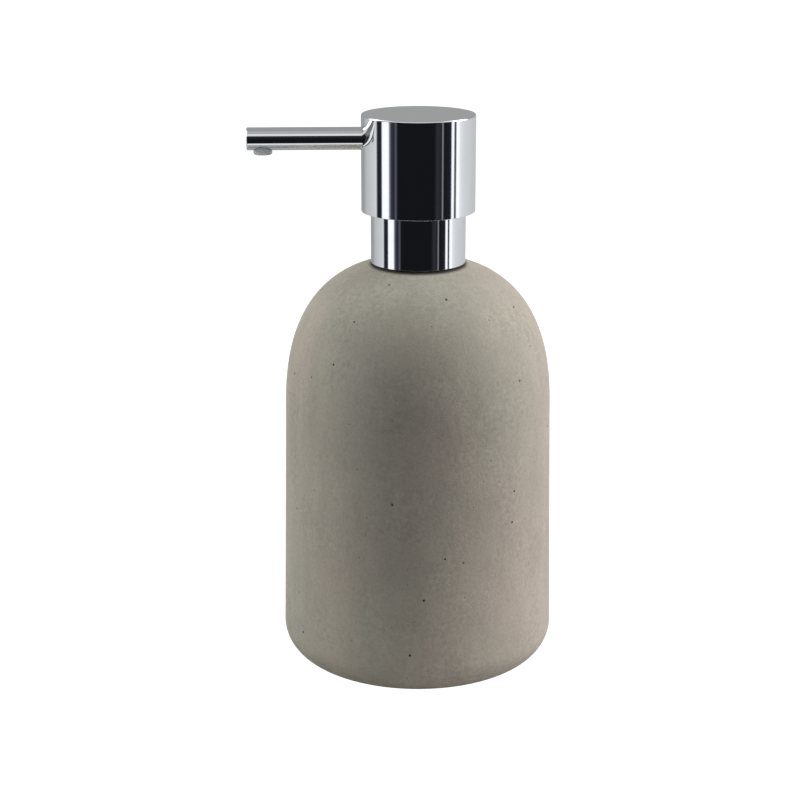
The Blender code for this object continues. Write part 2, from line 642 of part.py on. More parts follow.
def make_head(parts, helpers, materials):
    """The chrome cup, the plastic core inside it, and the spout with its liner and nozzle."""
    inside = HEAD_RADIUS - HEAD_WALL
    profile = [
        (0.0, HEAD_TOP_Z),
        (HEAD_RADIUS - EDGE_BEVEL, HEAD_TOP_Z),
        (HEAD_RADIUS, HEAD_TOP_Z - EDGE_BEVEL),
        (HEAD_RADIUS, HEAD_RIM_Z + HEM),
        (HEAD_RADIUS - HEM, HEAD_RIM_Z),
        (inside, HEAD_RIM_Z),
        (inside, HEAD_TOP_Z - HEAD_WALL),
        (0.0, HEAD_TOP_Z - HEAD_WALL),
    ]
    shell = turned("head_shell", profile, ROUND_FINE, materials["chrome"], parts, ring=False)
    low = inside - 2 * CUT
    high = HEAD_RADIUS + 2 * CUT
    hole = cylinder("spout_hole_cutter", SPOUT_RADIUS + GAP, low, high, 24, helpers, along_spout(SPOUT_Z))
    boolean(shell, hole, "DIFFERENCE")

    plate_top = HEAD_TOP_Z - HEAD_WALL - GAP
    skirt = inside - GAP
    skirt_bore = skirt - CORE_SKIRT_WALL
    socket = STEM_RADIUS + GAP
    profile = [
        (0.0, plate_top),
        (skirt, plate_top),
        (skirt, CORE_SKIRT_Z),
        (skirt_bore, CORE_SKIRT_Z),
        (skirt_bore, plate_top - CORE_PLATE),
        (CORE_BOSS, plate_top - CORE_PLATE),
        (CORE_BOSS, CORE_BOTTOM_Z),
        (socket, CORE_BOTTOM_Z),
        (socket, STEM_TOP_Z + GAP),
        (0.0, STEM_TOP_Z + GAP),
    ]
    plastic = materials["white_plastic"]
    core = turned("head_core", profile, ROUND_MEDIUM, plastic, parts, ring=False)
    half = RIB_THICKNESS / 2
    for index, angle in enumerate(RIB_ANGLES):
        low = (RIB_ROOT, -half, SPOUT_Z - RIB_DEPTH)
        high = (skirt - CORE_SKIRT_WALL / 2, half, plate_top - CORE_PLATE / 2)
        rib = box(f"core_rib_{index}", low, high, helpers, turn(angle))
        boolean(core, rib, "UNION")
    arm = cylinder("core_arm", ARM_RADIUS, ARM_ROOT, skirt_bore, 24, helpers, along_spout(SPOUT_Z))
    boolean(core, arm, "UNION")
    bore_end = skirt + 2 * CUT
    bore_root = STEM_RADIUS - CUT
    bore = [
        (0.0, bore_end),
        (SPOUT_RADIUS + GAP, bore_end),
        (SPOUT_RADIUS + GAP, SPOUT_ROOT - GAP),
        (LINER_RADIUS + GAP, SPOUT_ROOT - GAP),
        (LINER_RADIUS + GAP, LINER_ROOT - GAP),
        (LINER_BORE, LINER_ROOT - GAP),
        (LINER_BORE, bore_root),
        (0.0, bore_root),
    ]
    bore_cutter = turned("core_bore_cutter", bore, ROUND_SMALL, plastic, helpers, ring=False)
    bore_cutter.matrix_world = along_spout(SPOUT_Z)
    boolean(core, bore_cutter, "DIFFERENCE")

    profile = [
        (0.0, SPOUT_LENGTH),
        (SPOUT_RADIUS - EDGE_BEVEL, SPOUT_LENGTH),
        (SPOUT_RADIUS, SPOUT_LENGTH - EDGE_BEVEL),
        (SPOUT_RADIUS, SPOUT_ROOT),
        (SPOUT_RADIUS - SPOUT_WALL, SPOUT_ROOT),
        (SPOUT_RADIUS - SPOUT_WALL, SPOUT_LENGTH - SPOUT_END_WALL),
        (0.0, SPOUT_LENGTH - SPOUT_END_WALL),
    ]
    spout = turned("spout_tube", profile, ROUND_SMALL, materials["chrome"], parts, ring=False)
    spout.matrix_world = along_spout(SPOUT_Z)
    nozzle_place = Matrix.Translation((NOZZLE_X, 0.0, 0.0))
    low = NOZZLE_BOTTOM_Z - CUT
    radius = NOZZLE_RADIUS + GAP
    hole = cylinder("nozzle_hole_cutter", radius, low, NOZZLE_HOLE_TOP_Z, 24, helpers, nozzle_place)
    boolean(spout, hole, "DIFFERENCE")

    liner_end = -NOZZLE_X - NOZZLE_NECK - GAP
    profile = [
        (LINER_RADIUS, liner_end),
        (LINER_RADIUS, LINER_ROOT),
        (LINER_BORE, LINER_ROOT),
        (LINER_BORE, liner_end),
    ]
    liner = turned("spout_liner", profile, ROUND_SMALL, materials["clear_plastic"], parts)
    liner.matrix_world = along_spout(SPOUT_Z)

    profile = [
        (0.0, NOZZLE_TOP_Z),
        (NOZZLE_NECK, NOZZLE_TOP_Z),
        (NOZZLE_NECK, NOZZLE_STEP_Z),
        (NOZZLE_RADIUS, NOZZLE_STEP_Z),
        (NOZZLE_RADIUS, NOZZLE_BOTTOM_Z + HEM),
        (NOZZLE_RADIUS - HEM, NOZZLE_BOTTOM_Z),
        (LINER_BORE, NOZZLE_BOTTOM_Z),
        (LINER_BORE, NOZZLE_BORE_TOP_Z),
        (0.0, NOZZLE_BORE_TOP_Z),
    ]
    nozzle = turned("nozzle_tip", profile, ROUND_SMALL, plastic, parts, ring=False)
    nozzle.matrix_world = nozzle_place
    low = -NOZZLE_X - NOZZLE_NECK - CUT
    place = along_spout(NOZZLE_INLET_Z)
    inlet = cylinder("nozzle_inlet_cutter", NOZZLE_INLET_RADIUS, low, -NOZZLE_X, 12, helpers, place)
    boolean(nozzle, inlet, "DIFFERENCE")


BODIES = {
    "bottle": ("bottle_shell", "base_pad", "neck_insert"),
    "pump_unit": ("pump_housing", "housing_cap", "ball_retainer", "dip_tube", "neck_gasket"),
    "closure": ("closure_cap", "collar_shell"),
    "spring": ("return_spring",),
    "head": ("stem", "stem_plug", "head_core", "head_shell", "spout_tube", "spout_liner", "nozzle_tip"),
    "piston_body": ("piston",),
    "ball_body": ("inlet_ball",),
}


def group_bodies(parts):
    """Parents each body's pieces to an empty on the pump's axis, where its joint turns or slides."""
    for body, names in BODIES.items():
        empty = add_object(body + "_axis", None, parts)
        for name in names:
            bpy.data.objects[name].parent = empty


def main():
    clear_scene()
    parts = make_collection("soap_pump_dispenser")
    helpers = make_collection("cutters")
    materials = make_materials()
    make_bottle(parts, materials)
    make_neck(parts, helpers, materials)
    make_pump_unit(parts, helpers, materials)
    make_plunger(parts, helpers, materials)
    make_head(parts, helpers, materials)
    group_bodies(parts)


main()
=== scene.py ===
"""Soap pump dispenser: a cast stone bottle with a chrome lotion pump, in a plain white studio."""

import math

import bmesh
import bpy
from mathutils import Matrix, Vector


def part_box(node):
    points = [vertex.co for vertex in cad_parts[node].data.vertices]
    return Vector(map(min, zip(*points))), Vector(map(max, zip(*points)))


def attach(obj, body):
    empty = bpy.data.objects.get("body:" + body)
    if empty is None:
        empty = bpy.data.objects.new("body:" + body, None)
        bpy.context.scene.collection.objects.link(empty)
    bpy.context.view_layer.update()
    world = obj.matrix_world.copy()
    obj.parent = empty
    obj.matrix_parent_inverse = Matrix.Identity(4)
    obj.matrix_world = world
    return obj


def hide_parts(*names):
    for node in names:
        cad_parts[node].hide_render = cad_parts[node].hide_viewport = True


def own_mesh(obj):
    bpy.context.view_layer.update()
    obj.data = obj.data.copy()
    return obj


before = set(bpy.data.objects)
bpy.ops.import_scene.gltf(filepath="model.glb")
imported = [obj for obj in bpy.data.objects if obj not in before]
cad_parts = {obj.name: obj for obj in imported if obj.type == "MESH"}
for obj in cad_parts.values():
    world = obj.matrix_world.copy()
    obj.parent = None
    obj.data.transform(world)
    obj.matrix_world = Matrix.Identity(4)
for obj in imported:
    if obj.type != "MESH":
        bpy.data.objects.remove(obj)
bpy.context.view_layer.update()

# Sizes in metres. Radii and heights of whole pieces come from the CAD nodes' boxes.

# Bottle and foot pad
BOTTLE_BASE_Z = 0.0005
BASE_FILLET = 0.0100
BASE_RADIUS = 0.0415
SHOULDER_RADIUS = 0.0400
SHOULDER_Z = 0.0769
SHOULDER_WIDTH = 0.0399
SHOULDER_HEIGHT = 0.0476
SHOULDER_POWER = 2.58
BOTTLE_WALL = 0.0060
FLOOR_Z = 0.0095
FLOOR_FILLET = 0.0070
MOUTH_RADIUS = 0.0126
MOUTH_EDGE = 0.0005
PAD_HEIGHT = 0.0015
PAD_FILLET = 0.0004
GAP = 0.0003  # between pieces that meet

# Neck and closure
NECK_BORE = 0.0086
NECK_ROOT = 0.01085
NECK_ROUND = 0.00035
FLANGE_HEIGHT = 0.00085
FLANGE_ROUND = 0.00015
GROOVE_DROPS = (0.0022, 0.0048)  # the glue grooves' tops, below the collar's foot
GROOVE_DEPTH = 0.0006
GROOVE_HEIGHT = 0.0010
GROOVE_ROUND = 0.00012
CLOSURE_HOLE = 0.0090
CLOSURE_BORE = 0.0123
CLOSURE_WEB = 0.0012
THREAD_PITCH = 0.003175
THREAD_DEPTH = 0.0010
THREAD_TURNS = 1.5
THREAD_START = 0.0031  # above the collar's foot

# Chrome
COLLAR_WALL = 0.0006
COLLAR_LIP_BORE = 0.0104
HEAD_WALL = 0.0008
BEVEL = (0.00016, 0.00028)  # inwards and downwards, round the head's top
BEVEL_ROUNDS = (0.00015, 0.00040)
SPOUT_WALL = 0.0005
SPOUT_END_WALL = 0.0008
SPOUT_HOLE_GAP = 0.00006
SPOUT_HOLE_ENDS = (0.023, 0.013)  # from the head's axis
TIP_HOLE_GAP = 0.0001
TIP_HOLE_TOP = 0.0014  # below the spout's axis
TIP_HOLE_BELOW = 0.0010

# Nozzle
NOZZLE_NECK = 0.0024
NOZZLE_BORE = 0.0016
NOZZLE_STEP = 0.0004
NOZZLE_ROUND = 0.0010
NOZZLE_BORE_TOP = 0.0005  # above the spout's axis

# Return spring
WIRE_RADIUS = 0.00045
COIL_RADIUS = 0.00425
FREE_TURNS = 7
CLOSED_GAP = 0.0002

# Rounded edges
FINE = 0.0001
HEM = 0.00014
SMALL = 0.0002
SOFT = 0.0003
EDGE = 0.0004
SHARP_ANGLE = 38.0  # degrees between faces

# Camera and studio. The spout points a little towards the camera.
VIEW_TURN = math.radians(2.0)
EYE_ASIDE = -0.0054
EYE_AWAY = 0.560
EYE_HEIGHT = 0.2476
EYE_PITCH = 16.60
LENS = 86.6
FLOOR_SIZE = 0.60
FLOOR_TOP = -0.0002
TABLE_SIZE = 0.125
TABLE_TOP = -0.0003
TABLE_GREY = 0.42
TABLE_LIGHT = 0.06
BACKDROP_SIZE = 6.0
WHITE = 1.1
CARD_RADIUS = 1.0
CARD_HEIGHTS = (0.85, 1.60)
CARD_SPANS = ((-88, -30), (26, 84))  # degrees from the camera's direction
CARD_STEPS = 24
CARD_LIGHT = 0.90


# Meshes


def add(name, mesh):
    obj = bpy.data.objects.new(name, mesh)
    bpy.context.scene.collection.objects.link(obj)
    return obj


def arc(radius, height, size, start, end, count):
    points = []
    for step in range(count + 1):
        angle = math.radians(start + (end - start) * step / count)
        points.append((radius + size * math.cos(angle), height + size * math.sin(angle)))
    return points


def eased(corners, count=5):
    """A profile from (radius, height, fillet) corners. Each becomes an arc between two extra points."""
    points = []
    for index, corner in enumerate(corners):
        here = Vector(corner[:2])
        size = corner[2] if len(corner) > 2 else 0.0
        if not size or index in (0, len(corners) - 1):
            points.append(tuple(here))
            continue
        back = Vector(corners[index - 1][:2]) - here
        ahead = Vector(corners[index + 1][:2]) - here
        half = back.angle(ahead) / 2
        trim = min(size / math.tan(half), 0.45 * back.length, 0.45 * ahead.length)
        size = trim * math.tan(half)
        middle = here + (back.normalized() + ahead.normalized()).normalized() * (size / math.sin(half))
        start = here + back.normalized() * trim
        end = here + ahead.normalized() * trim
        first = math.atan2(start.y - middle.y, start.x - middle.x)
        sweep = math.atan2(end.y - middle.y, end.x - middle.x) - first
        sweep = (sweep + math.pi) % (2 * math.pi) - math.pi
        points.append(tuple(here + back.normalized() * trim * 1.06))
        for step in range(count + 1):
            angle = first + sweep * step / count
            points.append((middle.x + size * math.cos(angle), middle.y + size * math.sin(angle)))
        points.append(tuple(here + ahead.normalized() * trim * 1.06))
    return points


def turned(name, profile, segments, ring=False):
    """A turned solid about Z. A ring's profile is closed; otherwise both its ends lie on the axis."""
    mesh = bpy.data.meshes.new(name)
    vertices = []
    rows = []
    for radius, height in profile:
        if radius < 1e-7:
            rows.append([len(vertices)] * segments)
            vertices.append((0.0, 0.0, height))
            continue
        rows.append(list(range(len(vertices), len(vertices) + segments)))
        for step in range(segments):
            angle = 2 * math.pi * step / segments
            vertices.append((radius * math.cos(angle), radius * math.sin(angle), height))
    faces = []
    for index in range(len(rows) - (0 if ring else 1)):
        upper, lower = rows[index], rows[(index + 1) % len(rows)]
        for step in range(segments):
            following = (step + 1) % segments
            corners = [upper[step], lower[step], lower[following], upper[following]]
            faces.append(list(dict.fromkeys(corners)))
    mesh.from_pydata(vertices, [], faces)
    tidy(mesh)
    return add(name, mesh)


def tidy(mesh, angle=SHARP_ANGLE):
    """Outward normals, smooth shading, and sharp edges where the surface really turns."""
    shape = bmesh.new()
    shape.from_mesh(mesh)
    bmesh.ops.recalc_face_normals(shape, faces=shape.faces)
    shape.to_mesh(mesh)
    shape.free()
    mesh.shade_smooth()
    mesh.set_sharp_from_angle(angle=math.radians(angle))


def place(obj, matrix):
    obj.data.transform(matrix)
    return obj


def along_spout(height):
    """A matrix that lays local Z along -X at that height."""
    return Matrix.Translation((0.0, 0.0, height)) @ Matrix.Rotation(math.radians(-90.0), 4, "Y")


def cut(obj, *cutters):
    """Cuts the cutters out of obj, and keeps the result as its mesh."""
    for cutter in cutters:
        modifier = obj.modifiers.new(cutter.name, "BOOLEAN")
        modifier.operation = "DIFFERENCE"
        modifier.solver = "EXACT"
        modifier.object = cutter
    bpy.context.view_layer.update()
    graph = bpy.context.evaluated_depsgraph_get()
    mesh = bpy.data.meshes.new_from_object(obj.evaluated_get(graph))
    mesh.name = obj.name
    obj.modifiers.clear()
    obj.data = mesh
    for cutter in cutters:
        bpy.data.objects.remove(cutter)
    mesh.shade_smooth()
    mesh.set_sharp_from_angle(angle=math.radians(SHARP_ANGLE))
    return obj


def true_normals(obj, radius, axis, height):
    """Gives the outer wall of a tube, along Z or along X at a height, its exact round normals."""
    mesh = obj.data
    normals = [corner.vector.copy() for corner in mesh.corner_normals]
    for face in mesh.polygons:
        for loop in face.loop_indices:
            point = mesh.vertices[mesh.loops[loop].vertex_index].co
            out = Vector((point.x, point.y, 0.0))
            if axis == "X":
                out = Vector((0.0, point.y, point.z - height))
            if abs(out.length - radius) < 2e-6 and face.normal.dot(out.normalized()) > 0.97:
                normals[loop] = out.normalized()
    mesh.normals_split_custom_set(normals)
    return obj


def helix_ridge(name, wall_radius, depth, start_z, turns):
    """A thread's ridge: a trapezoid that stands out of a wall, or into a bore if depth is negative."""
    per_turn, run_out, sunk = 64, 14, 0.0003
    count = round(per_turn * turns)
    outward = math.copysign(1.0, depth)
    section = [(-sunk * outward, -0.00100), (depth * 0.86, -0.00052), (depth, -0.00038)]
    section += [(depth, 0.00038), (depth * 0.86, 0.00052), (-sunk * outward, 0.00100)]
    vertices, faces = [], []
    for step in range(count + 1):
        angle = 2 * math.pi * step / per_turn
        size = min(1.0, (step + 0.3) / run_out, (count - step + 0.3) / run_out)
        for across, up in section:
            radius = wall_radius + across * (size if across * outward > 0 else 1.0)
            height = start_z + THREAD_PITCH * step / per_turn + up * (0.35 + 0.65 * size)
            vertices.append((radius * math.cos(angle), radius * math.sin(angle), height))
    wide = len(section)
    for step in range(count):
        for index in range(wide):
            following = (index + 1) % wide
            base = step * wide
            faces.append((base + index, base + following, base + wide + following, base + wide + index))
    faces += [tuple(range(wide)), tuple(range(count * wide, (count + 1) * wide))]
    mesh = bpy.data.meshes.new(name)
    mesh.from_pydata(vertices, [], faces)
    tidy(mesh, 30.0)
    return add(name, mesh)


# Materials. All of them read object coordinates in metres, so their detail has its real scale.


def new_material(name, colour, roughness, metallic=0.0, **inputs):
    material = bpy.data.materials.new(name)
    material.use_nodes = True
    shader = material.node_tree.nodes["Principled BSDF"]
    shader.inputs["Base Color"].default_value = (*colour, 1.0)
    shader.inputs["Roughness"].default_value = roughness
    shader.inputs["Metallic"].default_value = metallic
    for key, value in inputs.items():
        shader.inputs[key.replace("_", " ")].default_value = value
    material.diffuse_color = (*colour, 1.0)
    return material, material.node_tree, shader


def noise(tree, scale, detail=3.0, rough=0.5, stretch=None):
    """Noise of that many cells a metre. stretch is a scale for each axis."""
    coordinates = tree.nodes.new("ShaderNodeTexCoord")
    texture = tree.nodes.new("ShaderNodeTexNoise")
    texture.inputs["Scale"].default_value = scale
    texture.inputs["Detail"].default_value = detail
    texture.inputs["Roughness"].default_value = rough
    source = coordinates.outputs["Object"]
    if stretch:
        mapping = tree.nodes.new("ShaderNodeMapping")
        mapping.inputs["Scale"].default_value = stretch
        tree.links.new(source, mapping.inputs["Vector"])
        source = mapping.outputs["Vector"]
    tree.links.new(source, texture.inputs["Vector"])
    return texture.outputs["Fac"]


def ramp(tree, source, stops):
    """A colour ramp. Each stop is (place, grey or colour)."""
    node = tree.nodes.new("ShaderNodeValToRGB")
    elements = node.color_ramp.elements
    while len(elements) < len(stops):
        elements.new(0.5)
    for element, (position, colour) in zip(elements, stops):
        element.position = position
        values = colour if hasattr(colour, "__len__") else (colour, colour, colour)
        element.color = (*values, 1.0)
    tree.links.new(source, node.inputs["Fac"])
    return node.outputs["Color"]


def mix(tree, mode, factor, first, second):
    """Mixes two colours. factor is a number or a socket."""
    node = tree.nodes.new("ShaderNodeMix")
    node.data_type = "RGBA"
    node.blend_type = mode
    for socket, value in ((node.inputs[0], factor), (node.inputs[6], first), (node.inputs[7], second)):
        if isinstance(value, bpy.types.NodeSocket):
            tree.links.new(value, socket)
        elif hasattr(value, "__len__"):
            socket.default_value = (*value, 1.0)
        else:
            socket.default_value = value
    return node.outputs[2]


def spread(tree, source, low, high):
    """Maps 0 to 1 onto low to high."""
    node = tree.nodes.new("ShaderNodeMapRange")
    node.inputs["To Min"].default_value = low
    node.inputs["To Max"].default_value = high
    tree.links.new(source, node.inputs["Value"])
    return node.outputs["Result"]


def bump(tree, shader, *layers):
    """Bump layers of (height source, depth in metres), the coarsest first."""
    last = None
    for source, depth in layers:
        node = tree.nodes.new("ShaderNodeBump")
        node.inputs["Strength"].default_value = 1.0
        node.inputs["Distance"].default_value = depth
        tree.links.new(source, node.inputs["Height"])
        if last is not None:
            tree.links.new(last, node.inputs["Normal"])
        last = node.outputs["Normal"]
    tree.links.new(last, shader.inputs["Normal"])


def pits(tree, cells, size, share, softness=0.35):
    """Small round holes: 1 on the surface, 0 in a hole. share is the part of the cells that has one."""
    coordinates = tree.nodes.new("ShaderNodeTexCoord")
    voronoi = tree.nodes.new("ShaderNodeTexVoronoi")
    voronoi.inputs["Scale"].default_value = cells
    tree.links.new(coordinates.outputs["Object"], voronoi.inputs["Vector"])
    hole = ramp(tree, voronoi.outputs["Distance"], [(size * (1 - softness), 0.0), (size, 1.0)])
    separate = tree.nodes.new("ShaderNodeSeparateColor")
    tree.links.new(voronoi.outputs["Color"], separate.inputs["Color"])
    picked = ramp(tree, separate.outputs["Red"], [(share, 0.0), (share + 0.002, 1.0)])
    return mix(tree, "LIGHTEN", 1.0, hole, picked)


def ring_shade(tree, inner, outer, shift):
    """0 inside the inner radius and 1 outside the outer one, about a point in front of the axis."""
    coordinates = tree.nodes.new("ShaderNodeTexCoord")
    flat = tree.nodes.new("ShaderNodeVectorMath")
    flat.operation = "MULTIPLY_ADD"
    flat.inputs[1].default_value = (1.0, 1.0, 0.0)
    flat.inputs[2].default_value = (0.0, shift, 0.0)
    tree.links.new(coordinates.outputs["Object"], flat.inputs[0])
    length = tree.nodes.new("ShaderNodeVectorMath")
    length.operation = "LENGTH"
    tree.links.new(flat.outputs["Vector"], length.inputs[0])
    node = tree.nodes.new("ShaderNodeMapRange")
    node.inputs["From Min"].default_value = inner
    node.inputs["From Max"].default_value = outer
    tree.links.new(length.outputs["Value"], node.inputs["Value"])
    return node.outputs["Result"]


STONE = (0.550, 0.494, 0.412)
GREENISH = (0.522, 0.497, 0.413)
PINKISH = (0.576, 0.489, 0.417)
# Painted shadow: a dark ring painted on the stone round the collar's foot, shifted towards the camera's side
# where it is darkest.
COLLAR_SHADOW_RADII = (0.0138, 0.0151)  # the dark line round the collar's foot
COLLAR_SHADOW_SHIFT = 0.0008


def stone_material():
    material, tree, shader = new_material("stone", STONE, 0.86, Specular_IOR_Level=0.25)
    cloud = noise(tree, 30.0, 3.0, 0.55)
    hue = noise(tree, 22.0, 2.0, 0.5, (1.0, 1.0, 0.45))
    patch = noise(tree, 110.0, 4.0, 0.6)
    speck = noise(tree, 1300.0, 2.0, 0.7)
    grain = noise(tree, 3600.0, 2.0, 0.6)
    streak = noise(tree, 150.0, 3.0, 0.5, (1.0, 1.0, 0.16))
    wriggle = noise(tree, 620.0, 4.0, 0.65)
    worn = ramp(tree, noise(tree, 75.0, 2.0, 0.5), [(0.42, 0.15), (0.60, 1.0)])
    base = ramp(tree, hue, [(0.32, GREENISH), (0.50, STONE), (0.68, PINKISH)])
    base = mix(tree, "MULTIPLY", 0.5, base, ramp(tree, cloud, [(0.32, 0.90), (0.50, 1.0), (0.68, 1.08)]))
    base = mix(tree, "MULTIPLY", 0.5, base, ramp(tree, patch, [(0.32, 0.92), (0.52, 1.0), (0.72, 1.06)]))
    base = mix(tree, "MULTIPLY", 0.5, base, ramp(tree, streak, [(0.35, 0.92), (0.65, 1.06)]))
    base = mix(tree, "MULTIPLY", 0.5, base, ramp(tree, speck, [(0.28, 0.80), (0.50, 1.0), (0.72, 1.16)]))
    base = mix(tree, "MULTIPLY", 0.4, base, ramp(tree, grain, [(0.35, 0.85), (0.65, 1.12)]))
    base = mix(tree, "MULTIPLY", worn, base, ramp(tree, wriggle, [(0.34, 0.88), (0.50, 1.0), (0.66, 1.10)]))
    large = pits(tree, 190.0, 0.085, 0.35)
    small = pits(tree, 420.0, 0.100, 0.22)
    holes = mix(tree, "MULTIPLY", 1.0, large, small)
    # Painted shade: the pits are sunk by the bump and also coloured dark inside, for the shade they hold.
    base = mix(tree, "MIX", small, (0.250, 0.220, 0.180), base)
    base = mix(tree, "MIX", large, (0.085, 0.068, 0.055), base)
    # Painted shadow round the collar's foot, multiplied into the stone's colour.
    collar_shadow = ring_shade(tree, *COLLAR_SHADOW_RADII, COLLAR_SHADOW_SHIFT)
    collar_shadow = mix(tree, "MIX", collar_shadow, (0.14, 0.135, 0.13), (1.0, 1.0, 1.0))
    base = mix(tree, "MULTIPLY", 1.0, base, collar_shadow)
    tree.links.new(base, shader.inputs["Base Color"])
    tree.links.new(spread(tree, patch, 0.76, 0.96), shader.inputs["Roughness"])
    relief = [(cloud, 0.0003), (streak, 0.00004), (patch, 0.00006), (wriggle, 0.00007)]
    bump(tree, shader, *relief, (speck, 0.00005), (grain, 0.00002), (holes, 0.0002))
    return material


def chrome_material():
    material, tree, shader = new_material("chrome", (0.78, 0.79, 0.80), 0.05, 1.0)
    smudge = noise(tree, 110.0, 4.0, 0.6)
    brushed = noise(tree, 900.0, 2.0, 0.5, (1.0, 1.0, 0.12))
    worn = mix(tree, "MIX", 0.35, smudge, brushed)
    tree.links.new(spread(tree, worn, 0.025, 0.085), shader.inputs["Roughness"])
    tint = ramp(tree, smudge, [(0.35, (0.765, 0.775, 0.785)), (0.65, (0.79, 0.80, 0.81))])
    tree.links.new(tint, shader.inputs["Base Color"])
    bump(tree, shader, (smudge, 0.0000016), (brushed, 0.0000003))
    return material


def plastic_material(name, colour, roughness, **inputs):
    """Moulded plastic: faint flow marks, a fine eroded texture and a slightly uneven gloss."""
    material, tree, shader = new_material(name, colour, roughness, **inputs)
    flow = noise(tree, 140.0, 3.0, 0.5, (1.0, 1.0, 0.35))
    fine = noise(tree, 5200.0, 2.0, 0.6)
    dark = tuple(0.95 * part for part in colour)
    light = tuple(min(1.0, 1.03 * part) for part in colour)
    tree.links.new(ramp(tree, flow, [(0.35, dark), (0.65, light)]), shader.inputs["Base Color"])
    tree.links.new(spread(tree, fine, roughness - 0.07, roughness + 0.09), shader.inputs["Roughness"])
    bump(tree, shader, (flow, 0.00001), (fine, 0.000006))
    return material


def steel_material(name, colour, roughness, stretch):
    """Drawn or ground steel with fine marks along its length."""
    material, tree, shader = new_material(name, colour, roughness, 1.0)
    marks = noise(tree, 2600.0, 3.0, 0.6, stretch)
    film = noise(tree, 260.0, 3.0, 0.6)
    dark = tuple(0.82 * part for part in colour)
    tree.links.new(ramp(tree, film, [(0.35, dark), (0.62, colour)]), shader.inputs["Base Color"])
    tree.links.new(spread(tree, marks, roughness - 0.08, roughness + 0.12), shader.inputs["Roughness"])
    bump(tree, shader, (marks, 0.000004))
    return material


def soft_material(name, colour, cells, depth, sheen):
    """Rubber or foam: a mottled matt skin with open cells."""
    material, tree, shader = new_material(name, colour, 0.85, Sheen_Weight=sheen)
    bloom = noise(tree, 190.0, 3.0, 0.6)
    open_cells = pits(tree, cells, 0.34, 0.75, 0.6)
    light = tuple(1.7 * part for part in colour)
    shade = ramp(tree, bloom, [(0.35, colour), (0.68, light)])
    # Painted shade: the open cells are darkened in the colour as well as sunk by the bump.
    shade = mix(tree, "MULTIPLY", 0.6, shade, open_cells)
    tree.links.new(shade, shader.inputs["Base Color"])
    tree.links.new(spread(tree, bloom, 0.74, 0.95), shader.inputs["Roughness"])
    bump(tree, shader, (bloom, 0.00002), (open_cells, depth))
    return material


materials = {
    "stone": stone_material(),
    "chrome": chrome_material(),
    "white_plastic": plastic_material("white_plastic", (0.80, 0.80, 0.78), 0.38),
    "clear_plastic": plastic_material(
        "clear_plastic", (0.86, 0.88, 0.88), 0.28, Transmission_Weight=0.75, IOR=1.49
    ),
    "spring_steel": steel_material("spring_steel", (0.60, 0.60, 0.59), 0.28, (1.0, 1.0, 0.2)),
    "steel_ball": steel_material("steel_ball", (0.66, 0.66, 0.67), 0.14, (1.0, 1.0, 1.0)),
    "seal_rubber": soft_material("seal_rubber", (0.035, 0.034, 0.033), 2600.0, 0.00001, 0.05),
    "foot_foam": soft_material("foot_foam", (0.030, 0.029, 0.028), 1500.0, 0.00006, 0.2),
}
nozzle_plastic = plastic_material(
    "nozzle_plastic",
    (0.90, 0.91, 0.93),
    0.32,
    Subsurface_Weight=1.0,
    Subsurface_Scale=0.0030,
    Subsurface_Radius=(1.0, 1.0, 1.0),
)


def finish_piece(obj, body, slot, nodes=(), material=None):
    """Gives a piece its material, the body it rides on and the CAD nodes it stands for."""
    obj.data.materials.clear()
    obj.data.materials.append(material or materials[slot])
    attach(obj, body)
    if nodes:
        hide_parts(*nodes)
    return obj


# Bottle


def dome(inset, count):
    """The dome's curve, moved in by inset, from the mouth down to the straight wall."""
    width, height = SHOULDER_WIDTH - inset, SHOULDER_HEIGHT - inset
    centre = SHOULDER_RADIUS - SHOULDER_WIDTH
    top = math.acos(((MOUTH_RADIUS - centre) / width) ** (SHOULDER_POWER / 2))
    points = []
    for step in range(count + 1):
        angle = top * (1 - step / count)
        radius = centre + width * math.cos(angle) ** (2 / SHOULDER_POWER)
        points.append((radius, SHOULDER_Z + height * math.sin(angle) ** (2 / SHOULDER_POWER)))
    return points


def foot(inset, base_z, fillet, count):
    """The fillet between the wall, which leans out towards the base, and a flat base."""
    lean = math.atan((BASE_RADIUS - SHOULDER_RADIUS) / (SHOULDER_Z - BOTTLE_BASE_Z))
    wall = BASE_RADIUS - inset - (base_z - BOTTLE_BASE_Z) * math.tan(lean)
    centre = wall - fillet * (1 + math.sin(lean)) / math.cos(lean)
    return arc(centre, base_z + fillet, fillet, math.degrees(lean), -90, count)


def wall_rows(top, bottom, count):
    """Points down the straight wall, between two points of the profile."""
    return [
        (top[0] + (bottom[0] - top[0]) * step / count, top[1] + (bottom[1] - top[1]) * step / count)
        for step in range(1, count)
    ]


outside = dome(0.0, 72)
mouth_z = outside[0][1]
outside = [point for point in outside if point[0] > MOUTH_RADIUS + MOUTH_EDGE]
base = foot(0.0, BOTTLE_BASE_Z, BASE_FILLET, 24)
inner_dome = dome(BOTTLE_WALL, 28)
inner_base = foot(BOTTLE_WALL, FLOOR_Z, FLOOR_FILLET, 10)
pad_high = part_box("base_pad")[1]
recess = pad_high.x + GAP
profile = [(0.0, FLOOR_Z), *inner_base[::-1], *inner_dome[::-1]]
for out, down in ((0.0, 1.6), (0.15, 0.75), (0.5, 0.3)):
    profile.append((MOUTH_RADIUS + out * MOUTH_EDGE, mouth_z - down * MOUTH_EDGE))
profile += [*outside, *wall_rows(outside[-1], base[0], 12), *base]
profile += [(recess + SOFT, BOTTLE_BASE_Z), (recess, BOTTLE_BASE_Z + SOFT)]
profile += [(recess, PAD_HEIGHT + GAP), (0.0, PAD_HEIGHT + GAP)]
finish_piece(turned("stone_bottle", profile, 288), "bottle", "stone", ["bottle_shell"])

profile = [(0, pad_high.z), (pad_high.x, pad_high.z, HEM), (pad_high.x, 0.0, PAD_FILLET), (0, 0)]
finish_piece(turned("foot_pad", eased(profile), 96), "bottle", "foot_foam", ["base_pad"])

# Threaded neck

